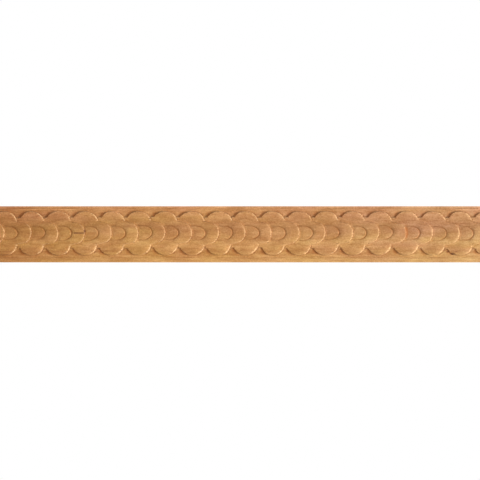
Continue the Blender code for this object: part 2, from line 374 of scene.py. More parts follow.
def painted_cut_shade_share(x, v):
    """Painted shade at the base of a cut's left-hand wall, which faces away from the key light and throws its
    shadow there.
    """
    painted_cut_shade = np.zeros_like(x)
    for local, gap, facing, width in walls_near(x, v):
        past = np.maximum(gap - width, 0.0)
        cover = np.clip(gap / width, 0.0, 1.0)
        in_cut = cover * bell(past, CUT_SHADE_REACH) * facing_share(facing, PAINTED_CUT_SHADE_FACING)
        painted_cut_shade = np.maximum(painted_cut_shade * cover, in_cut)
    return painted_cut_shade


def painted_groove_shade_share(x, v):
    """How far a place lies in the bottom of the groove round an eye, which the material darkens as painted
    shade.
    """
    share = np.zeros_like(x)
    for local, gap, facing, width in walls_near(x, v):
        bottom = np.clip(1 - np.abs(eye_gap(local, v)) / GROOVE_INNER, 0.0, 1.0)
        share = np.where(gap > 0, np.maximum(share, bottom * groove_start(local, v)), 0.0)
    return share


def edge_share(x, v):
    """How near a place lies to the upper edge of any cut, where fibres tear out."""
    share = np.zeros_like(x)
    for local, gap, facing, width in walls_near(x, v):
        share = np.where(gap < width, bell(gap, EDGE_REACH), share)
    return share


def foot_shade_share(x, v):
    """Painted shade: a dark line at the base of a wall that faces along +X, beside its lit face."""
    share = np.zeros_like(x)
    for local, gap, facing, width in walls_near(x, v):
        near = bell(gap - width, FOOT_LINE) * facing_share(facing, LIT_FACING)
        near = near * np.where(np.abs(v) < CROTCH, 1 - FOOT_FADE * smooth(v / NOSE_LENGTH), 1.0)
        share = np.where(gap < 0, 0.0, np.maximum(share * (gap > width), near))
    return share


def painted_highlight_share(x, v):
    """Painted highlight on the upper edge of a cut, most where it faces along +X towards the key light, and
    painted light along the shaded upper-left flanks of the top lobes.
    """
    arris = np.zeros_like(x)
    nose = NOSE_HIGHLIGHT * (1 - NOSE_FADE * smooth(v / NOSE_LENGTH))
    lobes = np.where(v > 0, TOP_LOBE_HIGHLIGHT, LOW_LOBE_HIGHLIGHT)
    highlight_strength = np.where(np.abs(v) < CROTCH, nose, lobes)
    low_shoulder = (v < 0) & (v > -CROTCH)
    for local, gap, facing, width in walls_near(x, v):
        shoulder = facing_share(facing, LOW_SHOULDER_FACING)
        lit = np.where(low_shoulder, shoulder, facing_share(facing, LIT_FACING))
        edge = np.exp(-np.abs(gap) / ARRIS) * lit * highlight_strength
        back = facing_share(facing, BACK_FACING[0]) * facing_share(facing, BACK_FACING[1])
        back = BACK_PAINTED_LIGHT * back * bell(gap - width / 2, EDGE_REACH) * (v > CROTCH)
        arris = np.where(gap < width, np.maximum(edge, back), arris)
    return arris


def spaced(points):
    """A line through the same course with its points about one spacing apart, corners kept."""
    course = [points[0]]
    for start, end in zip(points, points[1:]):
        count = max(1, round(math.dist(start, end) / LINE_SPACING))
        for step in range(1, count + 1):
            share = step / count
            course.append(tuple(a + (b - a) * share for a, b in zip(start, end)))
    return course


def arc(centre, radii, start, end, spacing=LINE_SPACING):
    """Points on an elliptical arc between two angles in radians."""
    count = max(2, round(abs(end - start) * max(radii) / spacing))
    points = []
    for step in range(count + 1):
        angle = start + (end - start) * step / count
        points.append((centre[0] + radii[0] * math.cos(angle), centre[1] + radii[1] * math.sin(angle)))
    return points


def offset_arc(centre, radii, start, end, offset):
    """An elliptical arc moved outwards by an offset that depends on how far the edge faces along +X."""
    placed = []
    for x, v in arc((0.0, 0.0), radii, start, end):
        along, across = x / radii[0] ** 2, v / radii[1] ** 2
        size = math.hypot(along, across)
        move = float(offset(along / size))
        placed.append((centre[0] + x + move * along / size, centre[1] + v + move * across / size))
    return placed


def tongue_line(offset):
    """Line round a scale's tongue, from crotch to crotch, tip at x = 0."""
    centre, radii = (-NOSE_LENGTH, 0.0), (NOSE_LENGTH, NOSE_HALF_HEIGHT)
    nose = offset_arc(centre, radii, TANGENT_ANGLE, -TANGENT_ANGLE, offset)
    end = CROTCH + float(offset(math.sin(SHOULDER_SLOPE))) / math.cos(SHOULDER_SLOPE)
    return spaced([(CROTCH_X, end), nose[0]]) + nose[1:-1] + spaced([nose[-1], (CROTCH_X, -end)])


def lobe_offset(facing, side, share, inside):
    """How far a line on a lobe's wall lies outside the lobe's own ellipse, its lean included."""
    return inside + share * lobe_wall(facing, side) + LOBE_LEAN * smooth(facing)


def lobe_line(side, rise, neck, offset):
    """Line round the lobe on one side, from the neck over the top to the crotch, tip at x = 0."""
    neck_angle = math.pi - math.asin((neck - LOBE_CENTRE) / rise)
    crotch_angle = math.asin((CROTCH - LOBE_CENTRE) / rise)
    centre, radii = (LOBE_X, LOBE_CENTRE), (LOBE_HALF_LENGTH, rise)
    return [(x, side * v) for x, v in offset_arc(centre, radii, neck_angle, crotch_angle, offset)]


def neck_line(side, rise, neck, offset):
    """Line along the neck's edge in the pocket before a lobe, tip at x = 0."""
    reach = LOBE_HALF_LENGTH * math.cos(math.asin((neck - LOBE_CENTRE) / rise))
    height = side * (neck + offset)
    return spaced([(LOBE_X - PITCH + reach + TOP_LOBE_WALL / 2, height), (LOBE_X - reach, height)])


def eye_line(outside):
    """A line at one distance outside the eye's edge, from the tongue round its end and back."""
    radii = (EYE_LENGTH + outside, EYE_HALF_HEIGHT + outside)
    start = float(nose_edge(radii[1])) + NOSE_WALL / 2
    end = arc((EYE_CENTRE, 0.0), radii, math.pi / 2, -math.pi / 2)
    return spaced([(start, radii[1]), end[0]]) + end[1:-1] + spaced([end[-1], (start, -radii[1])])


def carving_lines():
    """Every line of the carving that crosses one repeat from x = 0 to PITCH, in the (x, z) plane."""
    lines = [eye_line(outside) for outside in (-GROOVE_INNER, 0.0, GROOVE_OUTER)]
    for share, inside in WALL_LINES:
        lines.append(tongue_line(lambda facing: inside + share * tongue_wall(facing)))
        for side, rise, neck in SIDES:
            lobe = lobe_line(side, rise, neck, lambda facing: lobe_offset(facing, side, share, inside))
            lines.append(lobe)
            if share:
                lines.append(neck_line(side, rise, neck, inside + share * STEEP_WALL))
    placed = []
    for index in SCALES_AROUND:
        shift = FIRST_TIP + index * PITCH
        placed += [[(x + shift, v + AXIS_HEIGHT) for x, v in line] for line in lines]
    return placed


def grid_points(line_points):
    """Points spread over one repeat, clear of the carving's lines and of the repeat's own sides."""
    tree = KDTree(len(line_points))
    for index, point in enumerate(line_points):
        tree.insert((point[0], point[1], 0.0), index)
    tree.balance()
    rows = round((CARVED_TOP - CARVED_LOW) / ROW_SPACING)
    columns = round(PITCH / GRID_SPACING)
    points = []
    for row in range(1, rows):
        z = CARVED_LOW + (CARVED_TOP - CARVED_LOW) * row / rows
        for column in range(columns):
            x = PITCH * (column + ROW_STARTS[row % 2]) / columns
            if tree.find((x, z, 0.0))[2] > CLEAR and CLEAR < x < PITCH - CLEAR:
                points.append((x, z))
    return points


def carved_repeat():
    """Triangles of one repeat of the carved band: places in the (x, z) plane, and faces on them."""
    side = spaced([(0.0, CARVED_LOW), (0.0, CARVED_TOP)])
    border = side + [(x + PITCH, z) for x, z in reversed(side)]
    places = list(border)
    edges = [(index, (index + 1) % len(border)) for index in range(len(border))]
    for line in carving_lines():
        first = len(places)
        places += line
        edges += [(index, index + 1) for index in range(first, len(places) - 1)]
    places += grid_points(places)
    result = delaunay_2d_cdt([Vector(place) for place in places], edges, [], 0, WELD, False)
    kept = []
    for face in result[2]:
        middle = sum((result[0][index] for index in face), Vector((0, 0))) / len(face)
        if 0 < middle.x < PITCH and CARVED_LOW < middle.y < CARVED_TOP:
            kept.append(face)
    return np.array([place[:] for place in result[0]]), kept


def section_stations():
    """Heights and depths of the plain parts of the section, from the carved band round the back."""
    return [
        (PLATE_LOW - STEP_DRAFT, TOP_FILLET_DEPTH[0]),
        (PLATE_LOW, PLATE_DEPTH),
        (HALF_WIDTH, PLATE_DEPTH),
        (HALF_WIDTH, 0.0),
        (-HALF_WIDTH, 0.0),
        (-HALF_WIDTH, LOW_FILLET_DEPTH),
        (BEAD_LOW - STEP_DRAFT, LOW_FILLET_DEPTH),
        (BEAD_LOW, BEAD_DEPTH),
        (COVE_LOW, BEAD_DEPTH),
        (COVE_LOW + STEP_DRAFT, COVE_DEPTH[1]),
    ]


def add_object(name, data):
    """A new object in the scene."""
    piece = bpy.data.objects.new(name, data)
    bpy.context.scene.collection.objects.link(piece)
    return piece


def add_attribute(mesh, name, values):
    """A value for each point of the mesh, under a name that nodes can read."""
    attribute = mesh.attributes.new(name, "FLOAT", "POINT")
    attribute.data.foreach_set("value", np.ascontiguousarray(values, np.float32))


def point_outwards(cleaner):
    """Turns all the faces the same way, with the front's towards -Y."""
    bmesh.ops.recalc_face_normals(cleaner, faces=cleaner.faces)
    front = [face for face in cleaner.faces if face.calc_center_median().y < -FRONT_FROM]
    if sum(face.normal.y * face.calc_area() for face in front) > 0:
        bmesh.ops.reverse_faces(cleaner, faces=cleaner.faces)


def make_repeat():
    """One repeat of the whole moulding, open at its two cut sides, as an object to be repeated."""
    places, faces = carved_repeat()
    x, z = places[:, 0], places[:, 1]
    v = z - AXIS_HEIGHT
    points = [(px, -depth, pz) for px, depth, pz in zip(x, front_depth(x, z), z)]
    carved_points = len(points)
    top, low = (
        [int(np.hypot(x - end, z - height).argmin()) for end in (0.0, PITCH)]
        for height in (CARVED_TOP, CARVED_LOW)
    )
    previous = top
    for height, depth in section_stations():
        points += [(0.0, -depth, height), (PITCH, -depth, height)]
        current = [len(points) - 2, len(points) - 1]
        faces.append((previous[0], previous[1], current[1], current[0]))
        previous = current
    faces.append((previous[0], previous[1], low[1], low[0]))
    mesh = bpy.data.meshes.new("one repeat")
    mesh.from_pydata(points, [], faces)

    from_edge = np.minimum(CARVED_TOP - z, z - CARVED_LOW)
    carved = smooth(from_edge / CARVED_FADE)
    shares = {
        "carved": carved,
        "inner": smooth(from_edge / INNER_FADE),
        "painted_cut_shade": painted_cut_shade_share(x, v) * carved,
        "arris": painted_highlight_share(x, v) * carved,
        "groove": painted_groove_shade_share(x, v) * carved,
        "edge": edge_share(x, v) * carved,
        "foot": foot_shade_share(x, v) * carved,
    }
    plain = np.zeros(len(points) - carved_points)
    for name, values in shares.items():
        add_attribute(mesh, name, np.concatenate([values, plain]))

    cleaner = bmesh.new()
    cleaner.from_mesh(mesh)
    bmesh.ops.delete(cleaner, geom=[v for v in cleaner.verts if not v.link_faces], context="VERTS")
    point_outwards(cleaner)
    cleaner.to_mesh(mesh)
    cleaner.free()
    return add_object("one repeat", mesh)


def add_socket(tree, name, kind, direction="INPUT", value=None):
    """A named input or output of a node group."""
    socket = tree.interface.new_socket(name=name, in_out=direction, socket_type=kind)
    if value is not None:
        socket.default_value = value


class Nodes:
    """A small helper that adds nodes to one tree."""

    def __init__(self, tree):
        self.tree = tree
        self.tree.nodes.clear()

    def put(self, socket, value):
        """Links a socket, or sets a plain value on it."""
        if isinstance(value, bpy.types.NodeSocket):
            self.tree.links.new(value, socket)
        else:
            socket.default_value = value

    def add(self, kind, output=0, settings=None, **inputs):
        """Adds a node and returns one of its outputs, or the node itself for output=None."""
        made = self.tree.nodes.new(kind)
        for name, value in (settings or {}).items():
            setattr(made, name, value)
        for name, value in inputs.items():
            self.put(made.inputs[name], value)
        return made if output is None else made.outputs[output]

    def place(self):
        """The object's own coordinates."""
        return self.add("ShaderNodeTexCoord", "Object")

    def axes(self, vector):
        """The X, Y and Z of a vector, by name."""
        return self.add("ShaderNodeSeparateXYZ", None, Vector=vector).outputs

    def math(self, operation, first, second=0.0, clamp=False):
        """A math node on one or two values."""
        made = self.add("ShaderNodeMath", None, {"operation": operation, "use_clamp": clamp})
        self.put(made.inputs[0], first)
        self.put(made.inputs[1], second)
        return made.outputs[0]

    def vector(self, operation, first, second):
        """A vector math node on two vectors."""
        made = self.add("ShaderNodeVectorMath", None, {"operation": operation})
        self.put(made.inputs[0], first)
        self.put(made.inputs[1], second)
        return made.outputs[0]

    def times(self, first, second):
        return self.math("MULTIPLY", first, second)

    def plus(self, first, second, size=1.0, clamp=False):
        """The first and a size times the second."""
        return self.math("ADD", first, self.times(second, size), clamp)

    def mix(self, share, first, second, blend="MIX"):
        """Goes from the first colour to the second as the share goes from 0 to 1."""
        made = self.add("ShaderNodeMix", None, {"data_type": "RGBA", "blend_type": blend})
        for socket, value in zip(MIX_INPUTS, (share, first, second)):
            self.put(made.inputs[socket], value)
        return made.outputs[MIX_RESULT]

    def tint(self, color, by, share=1.0):
        """Multiplies a colour by another one."""
        tinted = self.mix(1.0, color, by, "MULTIPLY")
        return tinted if share == 1.0 else self.mix(share, color, tinted)

    def ramp(self, value, span, to=UNIT, kind="SMOOTHSTEP"):
        """Carries a value from one span over to another, and holds it there."""
        made = self.add("ShaderNodeMapRange", None, {"interpolation_type": kind}, Value=value)
        for name, limit in zip(("From Min", "From Max", "To Min", "To Max"), (*span, *to)):
            self.put(made.inputs[name], limit)
        return made.outputs[0]

    def noise(self, vector, ripples, detail, roughness=0.5, start=(0.0, 0.0, 0.0)):
        """Noise at a number of ripples per metre along each axis."""
        placed = self.add("ShaderNodeMapping", Vector=vector, Scale=ripples, Location=start)
        return self.add("ShaderNodeTexNoise", Vector=placed, Scale=1.0, Detail=detail, Roughness=roughness)

    def waver(self, vector, pattern):
        """Noise centred on zero."""
        return self.math("SUBTRACT", self.noise(vector, *pattern), NOISE_MIDDLE)

    def swing(self, vector, pattern, span=EVEN_SPAN):
        """Noise spread evenly between -1 and 1."""
        return self.ramp(self.noise(vector, *pattern), span, BOTH_WAYS)


def run_tree(wood):
    """Geometry nodes that repeat one piece along X and let each repeat drift as a hand-held gouge does."""
    tree = bpy.data.node_groups.new("run of scales", "GeometryNodeTree")
    add_socket(tree, "Repeat", "NodeSocketGeometry")
    add_socket(tree, "Count", "NodeSocketInt", value=REPEATS)
    add_socket(tree, "Pitch", "NodeSocketFloat", value=PITCH)
    for name, size, *_ in MOVEMENTS:
        add_socket(tree, name, "NodeSocketFloat", value=size)
    add_socket(tree, "Seed", "NodeSocketFloat", value=SEED)
    add_socket(tree, "Wood", "NodeSocketMaterial", value=wood)
    add_socket(tree, "Moulding", "NodeSocketGeometry", "OUTPUT")
    run = Nodes(tree)
    given = run.add("NodeGroupInput", None).outputs

    offset = run.add("ShaderNodeCombineXYZ", X=given["Pitch"])
    line = run.add("GeometryNodeMeshLine", None, Count=given["Count"], Offset=offset)
    line.inputs["Start Location"].default_value = (-HALF_LENGTH, 0.0, 0.0)
    line = line.outputs[0]
    instances = run.add("GeometryNodeInstanceOnPoints", Points=line, Instance=given["Repeat"])
    realized = run.add("GeometryNodeRealizeInstances", Geometry=instances)
    merged = run.add("GeometryNodeMergeByDistance", Geometry=realized, Distance=2 * WELD)

    masks = {}
    for name in ("carved", "inner", "edge"):
        kind = {"data_type": "FLOAT"}
        masks[name] = run.add("GeometryNodeInputNamedAttribute", "Attribute", kind, Name=name)
    position = run.add("GeometryNodeInputPosition")
    to_end = run.math("SUBTRACT", HALF_LENGTH, run.math("ABSOLUTE", run.axes(position)["X"]))
    inland = run.math("MULTIPLY", to_end, 1 / END_CALM, clamp=True)

    total = None
    for name, _, ripples, detail, place, direction, mask in MOVEMENTS:
        noise = run.add(
            "ShaderNodeTexNoise",
            "Color",
            {"noise_dimensions": "4D"},
            Vector=run.vector("MULTIPLY", position, ripples),
            W=run.math("ADD", given["Seed"], place),
            Scale=1.0,
            Detail=detail,
        )
        noise = run.vector("SUBTRACT", noise, (NOISE_MIDDLE,) * 3)
        size = given[name]
        if mask:
            size = run.times(run.times(size, inland), masks[mask])
        size = run.times(size, masks["carved"])
        way = run.vector("MULTIPLY", noise, direction)
        move = run.add("ShaderNodeVectorMath", 0, {"operation": "SCALE"}, Vector=way, Scale=size)
        total = move if total is None else run.vector("ADD", total, move)
    moved = run.add("GeometryNodeSetPosition", Geometry=merged, Offset=total)
    finished = run.add("GeometryNodeSetMaterial", Geometry=moved, Material=given["Wood"])
    run.add("NodeGroupOutput", None, Moulding=finished)
    return tree


def set_inputs(modifier, **values):
    """Sets a modifier's inputs by the identifiers of their sockets."""
    identifiers = {item.name: item.identifier for item in modifier.node_group.interface.items_tree}
    for name, value in values.items():
        modifier[identifiers[name]] = value


def at_end(edge, end):
    """Whether an edge of the mesh lies in the plane of a sawn end."""
    return all(abs(vert.co.x - end) < END_TOLERANCE for vert in edge.verts)


def close_ends(mesh):
    """Fills the two sawn ends, and gives their faces the wood of the ends."""
    shell = bmesh.new()
    shell.from_mesh(mesh)
    for end in (-HALF_LENGTH, HALF_LENGTH):
        rim = [edge for edge in shell.edges if edge.is_boundary and at_end(edge, end)]
        for edge in rim:
            for vert in edge.verts:
                vert.co.x = end
        filled = bmesh.ops.triangle_fill(shell, use_beauty=True, edges=rim)
        for part in filled["geom"]:
            if isinstance(part, bmesh.types.BMFace):
                part.material_index = END_WOOD
    bmesh.ops.recalc_face_normals(shell, faces=shell.faces)
    shell.to_mesh(mesh)
    shell.free()


def make_moulding(face_wood, end_wood, back_wood):
    """The whole moulding as one closed mesh, with a wood each for the face, the ends and the back."""
    repeat = make_repeat()
    modifier = repeat.modifiers.new("run", "NODES")
    modifier.node_group = run_tree(face_wood)
    set_inputs(modifier, Count=REPEATS, Pitch=PITCH, Wood=face_wood)
    evaluated = repeat.evaluated_get(bpy.context.evaluated_depsgraph_get())
    mesh = bpy.data.meshes.new_from_object(evaluated)
    repeat.modifiers.remove(modifier)
    bpy.data.objects.remove(repeat)
    mesh.name = "carved_moulding"
    mesh.materials.clear()
    for wood in (face_wood, end_wood, back_wood):
        mesh.materials.append(wood)
    close_ends(mesh)
    mesh.shade_smooth()
    mesh.set_sharp_from_angle(angle=SHARP_ANGLE)
    for face in mesh.polygons:
        on_back = face.normal.y > BACK_NORMAL and abs(face.center.y) < WELD
        if on_back and face.material_index == FACE_WOOD:
            face.material_index = BACK_WOOD
    return add_object("carved_moulding", mesh)


# Colours of the wood, of its marks, and of the painted shade and painted highlights in its cuts and on its
# edges
GRAIN_COLOURS = {
    "Heartwood": (0.50, 0.230, 0.083, 1),
    "Sapwood": (0.52, 0.265, 0.078, 1),
    "Latewood": (0.36, 0.135, 0.035, 1),
}
# Painted shade: a warm dark tint in the cuts beside the left-hand walls, where the key light's shadow falls
PAINTED_CUT_SHADE_TINT = (0.52, 0.13, 0.01, 1)
# Painted shade in the bottom of the groove round each eye
PAINTED_GROOVE_SHADE_TINT = (0.24, 0.08, 0.012, 1)
# Painted highlight on the edges that face the key light
PAINTED_HIGHLIGHT_TINT = (0.86, 0.55, 0.27, 1)
TORN_FIBRE = (0.16, 0.055, 0.015, 1)
# Painted shade: a dark line beside the walls that face the key light
FOOT_SHADE_TINT = (0.20, 0.065, 0.015, 1)
STAIN_TINT = (0.42, 0.14, 0.03, 1)
CRACK_TINT = (0.13, 0.04, 0.012, 1)
SAWN_TINT = (0.30, 0.13, 0.05, 1)
SAW_MARK_TINT = (0.20, 0.08, 0.03, 1)
PLANED_TINT = (0.30, 0.14, 0.06, 1)

# Noise patterns: ripples per metre along each axis, detail, and where given roughness and start
RING_BEND = ((3.0, 14.0, 14.0), 3.0)
HEART_DRIFT = ((5.0, 30.0, 26.0), 3.0, 0.55)
BROAD_STREAKS = ((42.0, 300.0, 260.0), 4.0, 0.62)
FINE_STREAKS = ((110.0, 1300.0, 1300.0), 3.0, 0.6, (3.0, 0.0, 0.0))
PORES = ((95.0, 1500.0, 1500.0), 1.0, 0.5, (7.0, 0.0, 0.0))
FLECKS = ((60.0, 420.0, 420.0), 2.0, 0.6, (11.0, 0.0, 0.0))
TONE_WAVER = ((9.0, 20.0, 20.0), 3.0)
MARK_WAVER = ((260.0, 900.0, 900.0), 3.0, 0.6)
PATCHES = ((24.0, 70.0, 75.0), 3.0)
WARM_PATCHES = ((14.0, 45.0, 50.0), 2.0)
FUZZ = ((480.0, 560.0, 560.0), 3.0, 0.65)
HIGHLIGHT_FIBRES = ((330.0, 520.0, 520.0), 2.0, 0.6)
TORN_FIBRES = ((300.0, 640.0, 640.0), 2.0, 0.6, (5.0, 0.0, 0.0))
FOOT_SHADE_BREAKUP = ((260.0, 420.0, 420.0), 2.0, 0.6, (9.0, 0.0, 0.0))
SAW_MARKS = ((0.0, 3200.0, 60.0), 2.0)

# Where in a pattern each thing begins and is full
BROAD_SPAN = (0.34, 0.66)
FINE_SPAN = (0.3, 0.7)
LATE_START = (0.30, 0.92)
LATE_END = (1.0, 0.93)
PORE_SPAN = (0.66, 0.74)
FLECK_SPAN = (0.70, 0.76)
HIGHLIGHT_SPAN = (0.40, 0.56)
TORN_SPAN = (0.58, 0.66)
FOOT_SHADE_SPAN = (0.42, 0.60)
SAW_MARK_SPAN = (0.4, 0.7)
MARK_SPAN = (1.15, 0.55)

# The grain group: where the pith runs behind the board, the rings round it, where the heartwood
# gives way to sapwood, how the streaks add up and tint, and what makes the relief and the roughness
PITH_DEPTH = 0.070
PITH_SLOPE = 0.035
PITH_HEIGHT = 0.012
RING_BEND_SIZE = 0.009
GRAIN_SIZES = {
    "Ring spacing": 0.0024,
    "Ring contrast": 0.25,
    "Streak contrast": 0.16,
    "Pore amount": 0.5,
}
HEART_MIDDLE = 0.45
HEART_SLOPE = 14.0
HEART_DRIFT_SIZE = 2.4
BROAD_PART = 0.6
FINE_PART = 0.4
SHADE_BY_CHANNEL = (0.75, 1.1, 1.6)
FIBRE_HEIGHT = 0.5
PORE_HEIGHT = -1.2
LATE_HEIGHT = -0.3
WOOD_ROUGHNESS = 0.52
LATE_ROUGHNESS = -0.05
PORE_ROUGHNESS = 0.2
WOOD_SPECULAR = 0.25

# How strong each effect is on the carved face
PATCH_SWING = 0.10
FUZZ_SWING = 0.15
WARM_SWING = 0.05
WARM_GREEN = 0.5
PAINTED_CUT_SHADE_AMOUNT = 0.45
PAINTED_GROOVE_SHADE_AMOUNT = 0.65
TORN_AMOUNT = 0.85
HIGHLIGHT_AMOUNT = (0.05, 1.0)
FOOT_SHADE_AMOUNT = (0.1, 0.85)
FUZZ_HEIGHT = 0.5
TORN_HEIGHT = -2.0
FACE_BUMP = 0.00012

# The same for the sawn ends and the planed back
SAWN_RING_CONTRAST = 0.6
SAWN_STREAK_CONTRAST = 0.12
SAWN_AMOUNT = 0.35
SAW_MARK_AMOUNT = (0.0, 0.25)
SAWN_ROUGHNESS = 0.15
SAWN_BUMP = 0.00015
PLANER_RIPPLE = 0.004
PLANED_AMOUNT = 0.08
PLANED_ROUGHNESS = 0.08
RIPPLE_HEIGHT = 0.25
PLANED_BUMP = 0.0001

# Bands across the board, partly its own growth tone and partly painted light and shade: darker where the ogee's
# upper slope and the low lobes face away from the key light, lighter where the lower slope faces it, and much
# lighter on the plate to fill the shadow of its step. Heights, and tints that multiply the wood
TONE_AND_SHADE_BANDS = (
    (-0.0400, (1.08, 1.10, 1.15)),
    (-0.0330, (1.04, 1.04, 1.10)),
    (-0.0295, (0.98, 0.96, 0.96)),
    (-0.0255, (0.91, 0.86, 0.83)),
    (-0.0180, (1.03, 1.02, 1.03)),
    (-0.0110, (1.08, 1.12, 1.14)),
    (-0.0020, (1.00, 1.00, 1.00)),
    (0.0080, (0.93, 0.90, 0.91)),
    (0.0220, (0.99, 0.98, 0.95)),
    (0.0330, (1.00, 1.00, 1.00)),
    (0.0372, (1.02, 1.02, 1.04)),
    (0.0380, (1.50, 1.62, 1.85)),
    (0.0400, (1.18, 1.24, 1.40)),
)
BAND_WAVER = 0.006
# The left end darker and the right end paler and bluer: partly the board's own tone, partly painted light for
# the key light's fall-off and sheen towards the right
DARK_END_SPAN = (-0.36, -0.18)
DARK_END_WAVER = 0.1
SHADED_END_TINT = (0.87, 0.79, 0.72, 1)
PALE_END_SPAN = (-0.05, 0.34)
SHEEN_END_TINT = (0.94, 1.01, 1.22, 1)

# Marks of this board on the carved front: place along and across it, half-sizes, and how dark
CRACKS = (
    (-0.2405, 0.0019, 0.0100, 0.0013, 0.85),
    (-0.2318, 0.0048, 0.0019, 0.0026, 0.90),
    (0.3180, -0.0292, 0.0042, 0.0017, 0.80),
    (0.3105, -0.0262, 0.0022, 0.0013, 0.65),
    (0.3235, -0.0262, 0.0014, 0.0011, 0.65),
)
STAINS = (
    (0.2486, 0.0030, 0.0030, 0.0120, 0.55),
    (-0.2350, 0.0012, 0.0200, 0.0040, 0.20),
    (-0.1780, -0.0020, 0.0140, 0.0040, 0.25),
)
MARK_WAVER_SIZE = 1.6


def wood_shade(shader, swing):
    """A multiplier for wood that is lighter or darker by a swing: dark wood is also warmer."""
    red, green, blue = (shader.plus(1.0, swing, size) for size in SHADE_BY_CHANNEL)
    return shader.add("ShaderNodeCombineXYZ", X=red, Y=green, Z=blue)


def grain_group():
    """Straight-grained hardwood as a solid: growth rings round a pith behind the board, streaks, pores."""
    tree = bpy.data.node_groups.new("hardwood grain", "ShaderNodeTree")
    add_socket(tree, "Vector", "NodeSocketVector")
    for name, value in GRAIN_COLOURS.items():
        add_socket(tree, name, "NodeSocketColor", value=value)
    for name, value in GRAIN_SIZES.items():
        add_socket(tree, name, "NodeSocketFloat", value=value)
    add_socket(tree, "Color", "NodeSocketColor", "OUTPUT")
    add_socket(tree, "Height", "NodeSocketFloat", "OUTPUT")
    add_socket(tree, "Roughness", "NodeSocketFloat", "OUTPUT")
    shader = Nodes(tree)
    given = shader.add("NodeGroupInput", None).outputs
    vector = given["Vector"]
    axes = shader.axes(vector)

    behind = shader.plus(shader.math("ADD", axes["Y"], -PITH_DEPTH), axes["X"], PITH_SLOPE)
    aside = shader.math("ADD", axes["Z"], -PITH_HEIGHT)
    distance = shader.math("SQRT", shader.math("ADD", shader.times(behind, behind), shader.times(aside, aside)))
    radius = shader.plus(distance, shader.waver(vector, RING_BEND), RING_BEND_SIZE)
    ring = shader.math("FRACT", shader.math("DIVIDE", radius, given["Ring spacing"]))
    late = shader.times(shader.ramp(ring, LATE_START), shader.ramp(ring, LATE_END))

    upper = shader.plus(HEART_MIDDLE, axes["Z"], HEART_SLOPE)
    heart = shader.plus(upper, shader.waver(vector, HEART_DRIFT), HEART_DRIFT_SIZE, clamp=True)
    color = shader.mix(heart, given["Sapwood"], given["Heartwood"])
    color = shader.mix(shader.times(late, given["Ring contrast"]), color, given["Latewood"])

    broad = shader.swing(vector, BROAD_STREAKS, BROAD_SPAN)
    fine = shader.swing(vector, FINE_STREAKS, FINE_SPAN)
    streak = shader.plus(shader.times(broad, BROAD_PART), fine, FINE_PART)
    color = shader.tint(color, wood_shade(shader, shader.times(streak, given["Streak contrast"])))

    pores = shader.ramp(shader.noise(vector, *PORES), PORE_SPAN)
    flecks = shader.ramp(shader.noise(vector, *FLECKS), FLECK_SPAN)
    dark = shader.times(shader.math("MAXIMUM", pores, flecks), given["Pore amount"])
    color = shader.mix(dark, color, given["Latewood"])

    height = shader.plus(shader.times(fine, FIBRE_HEIGHT), dark, PORE_HEIGHT)
    height = shader.plus(height, late, LATE_HEIGHT)
    rough = shader.plus(WOOD_ROUGHNESS, late, LATE_ROUGHNESS)
    rough = shader.plus(rough, dark, PORE_ROUGHNESS)
    shader.add("NodeGroupOutput", None, Color=color, Height=height, Roughness=rough)
    return tree


def new_wood(name, grain, values=None):
    """A material with the grain group placed in it, and what is still to be linked."""
    material = bpy.data.materials.new(name)
    material.use_nodes = True
    shader = Nodes(material.node_tree)
    group = shader.add("ShaderNodeGroup", None, {"node_tree": grain}, Vector=shader.place())
    for key, value in (values or {}).items():
        shader.put(group.inputs[key], value)
    principled = shader.tree.nodes.new("ShaderNodeBsdfPrincipled")
    principled.inputs["Metallic"].default_value = 0.0
    principled.inputs["Specular IOR Level"].default_value = WOOD_SPECULAR
    shader.add("ShaderNodeOutputMaterial", None, Surface=principled.outputs[0])
    return material, shader, group.outputs, principled


def finish(shader, principled, color, roughness, height, distance):
    """Gives a wood its colour and roughness, and lets a height tilt its shading."""
    bump = shader.add("ShaderNodeBump", Strength=1.0, Distance=distance, Height=height)
    for name, value in (("Base Color", color), ("Roughness", roughness), ("Normal", bump)):
        shader.put(principled.inputs[name], value)


def board_tone_and_light(shader, place):
    """How light the board is, partly its own tone and partly painted light and shade: bands across it, one
    darker end and one paler end.
    """
    axes = shader.axes(place)
    waver = shader.waver(place, TONE_WAVER)
    height = shader.plus(axes["Z"], waver, BAND_WAVER)
    bands = shader.add("ShaderNodeValToRGB", None)
    shader.put(bands.inputs[0], shader.ramp(height, (-HALF_WIDTH, HALF_WIDTH), kind="LINEAR"))
    ramp = bands.color_ramp
    ramp.interpolation = "EASE"
    first_stops = len(ramp.elements)
    for level, (at, color) in enumerate(TONE_AND_SHADE_BANDS):
        stop = ramp.elements[level] if level < first_stops else ramp.elements.new(1.0)
        stop.position = (at + HALF_WIDTH) / (2 * HALF_WIDTH)
        stop.color = (*color, 1)
    dark = shader.ramp(shader.plus(axes["X"], waver, DARK_END_WAVER), DARK_END_SPAN, UNIT[::-1])
    tone = shader.tint(bands.outputs[0], SHADED_END_TINT, dark)
    return shader.tint(tone, SHEEN_END_TINT, shader.ramp(axes["X"], PALE_END_SPAN, kind="LINEAR"))


def board_marks(shader, place, marks):
    """A mask that is 1 in each of a list of marks, with edges that follow the fibres."""
    waver = shader.waver(place, MARK_WAVER)
    share = 0.0
    for x, z, half_length, half_height, strength in marks:
        offset = shader.add("ShaderNodeVectorMath", None, {"operation": "MULTIPLY_ADD"}, Vector=place)
        offset.inputs[1].default_value = (1 / half_length, 0.0, 1 / half_height)
        offset.inputs[2].default_value = (-x / half_length, 0.0, -z / half_height)
        size = shader.add("ShaderNodeVectorMath", "Value", {"operation": "LENGTH"}, Vector=offset.outputs[0])
        size = shader.plus(size, waver, MARK_WAVER_SIZE)
        share = shader.math("MAXIMUM", share, shader.ramp(size, MARK_SPAN, (0.0, strength)))
    return share


